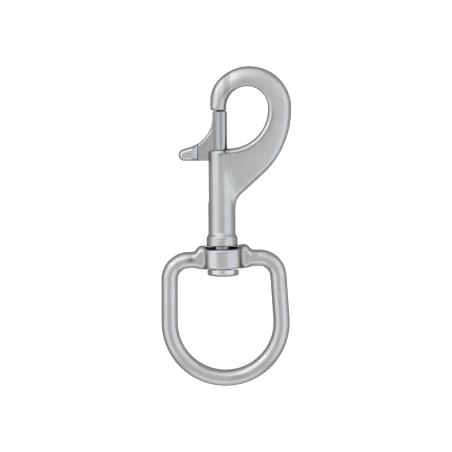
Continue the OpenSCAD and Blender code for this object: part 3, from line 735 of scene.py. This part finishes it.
table = bpy.data.meshes.new("table")
table.from_pydata([(-TABLE, -TABLE, 0), (TABLE, -TABLE, 0), (TABLE, TABLE, 0), (-TABLE, TABLE, 0)],
                  [], [(0, 1, 2, 3)])
floor = bpy.data.objects.new("table", table)
bpy.context.scene.collection.objects.link(floor)
white = bpy.data.materials.new("white_table")
white.use_nodes = True
wb = white.node_tree.nodes["Principled BSDF"]
wb.inputs["Base Color"].default_value = (0.25, 0.25, 0.25, 1)
wb.inputs["Emission Color"].default_value = (1, 1, 1, 1)
wb.inputs["Emission Strength"].default_value = 0.9
wb.inputs["Roughness"].default_value = 0.9
wb.inputs["Specular IOR Level"].default_value = 0.0
table.materials.append(white)
floor.visible_glossy = False


AIM = Vector((0, 0, 0.006))  # the middle of the hook, which the panels face


def panel(name, shape, radiance, color):
    """A soft light that adds its radiance to the room's.

    Its shape is the middle of its lower edge, the middle of its upper edge, and its width.
    """
    low, high, width = shape
    low, high = np.array(low, float), np.array(high, float)
    mid, up = (low + high) / 2, high - low
    height = float(np.linalg.norm(up))
    light = bpy.data.lights.new(name, "AREA")
    light.shape = "RECTANGLE"
    light.size, light.size_y = width, height
    light.energy = radiance * math.pi * width * height
    light.color = color
    ob = bpy.data.objects.new(name, light)
    bpy.context.scene.collection.objects.link(ob)
    yv = Vector(up).normalized()
    zv = Vector(mid) - AIM
    zv = (zv - yv * zv.dot(yv)).normalized()
    xv = yv.cross(zv)
    ob.matrix_world = Matrix.Translation(Vector(mid)) @ Matrix((xv, yv, zv)).transposed().to_4x4()


panel("left_softbox", ((-0.95, 0, 0.13), (-0.6, 0, 0.97), 1.5), 0.9, (1.0, 0.995, 0.985))
panel("right_softbox", ((0.95, 0, 0.12), (0.42, 0, 1.08), 1.5), 0.92, (0.82, 0.92, 1.0))
panel("top_softbox", ((0, 0.98, 0.38), (0, 0.36, 1.05), 0.6), 0.7, (0.98, 1.0, 1.0))
panel("corner_softbox", ((-0.65, 0.69, 0.2), (-0.215, 0.245, 1.05), 0.56), 1.15, (1.0, 1.0, 1.0))
panel("rim_softbox", ((-0.3, 0.9, 0.1), (-0.12, 0.4, 0.95), 0.35), 0.4, (0.99, 1.0, 1.0))
panel("foot_softbox", ((0, -0.95, 0.12), (0, -0.75, 0.55), 1.0), 0.9, (1.0, 0.98, 0.98))

world = bpy.data.worlds.new("studio")
bpy.context.scene.world = world
world.use_nodes = True
bg = world.node_tree.nodes["Background"]
bg.inputs["Color"].default_value = (1, 1, 1, 1)
sky = world.node_tree
way = sky.nodes.new("ShaderNodeSeparateXYZ")
sky.links.new(sky.nodes.new("ShaderNodeTexCoord").outputs["Generated"], way.inputs["Vector"])


def fade(source, start, end, low, high):
    """From low to high as the direction's X, Y or Z goes from start to end."""
    m = sky.nodes.new("ShaderNodeMapRange")
    for socket, value in (("From Min", start), ("From Max", end),
                          ("To Min", low), ("To Max", high)):
        m.inputs[socket].default_value = value
    sky.links.new(way.outputs[source], m.inputs["Value"])
    return m.outputs["Result"]


def maths(kind, a, b):
    m = sky.nodes.new("ShaderNodeMath")
    m.operation = kind
    for socket, source in zip(m.inputs, (a, b)):
        sky.links.new(source, socket)
    return m.outputs["Value"]


# The room is dimmer below the table's level, except low on the right and past the eye's foot
room = fade("Z", -0.1, 0.03, 0.84, 1.3)
right = maths("MULTIPLY", fade("X", 0.55, 0.85, 0, 0.45), fade("Z", -0.45, -0.2, 1, 0))
near = maths("MULTIPLY", fade("Y", -0.95, -0.7, 0.9, 0), fade("Z", -0.1, 0.03, 1, 0))
sky.links.new(maths("ADD", room, maths("ADD", right, near)), bg.inputs["Strength"])

# In metres, with the sensor in mm and the turn in degrees
HEIGHT = 2.0
FRAME_W = 0.1356
SENSOR = 36.0
CAMERA_X, CAMERA_Y, CAMERA_TURN = -0.00013, 0.00006, -0.43
cam = bpy.data.cameras.new("camera")
cam.sensor_width = SENSOR
cam.lens = SENSOR * HEIGHT / FRAME_W
cam.clip_end = 10
eye_cam = bpy.data.objects.new("camera", cam)
bpy.context.scene.collection.objects.link(eye_cam)
eye_cam.matrix_world = (Matrix.Translation((CAMERA_X, CAMERA_Y, PLACE[2] + HEIGHT))
                        @ Matrix.Rotation(math.radians(CAMERA_TURN), 4, "Z"))
bpy.context.scene.camera = eye_cam
bpy.context.scene.view_settings.view_transform = "Standard"
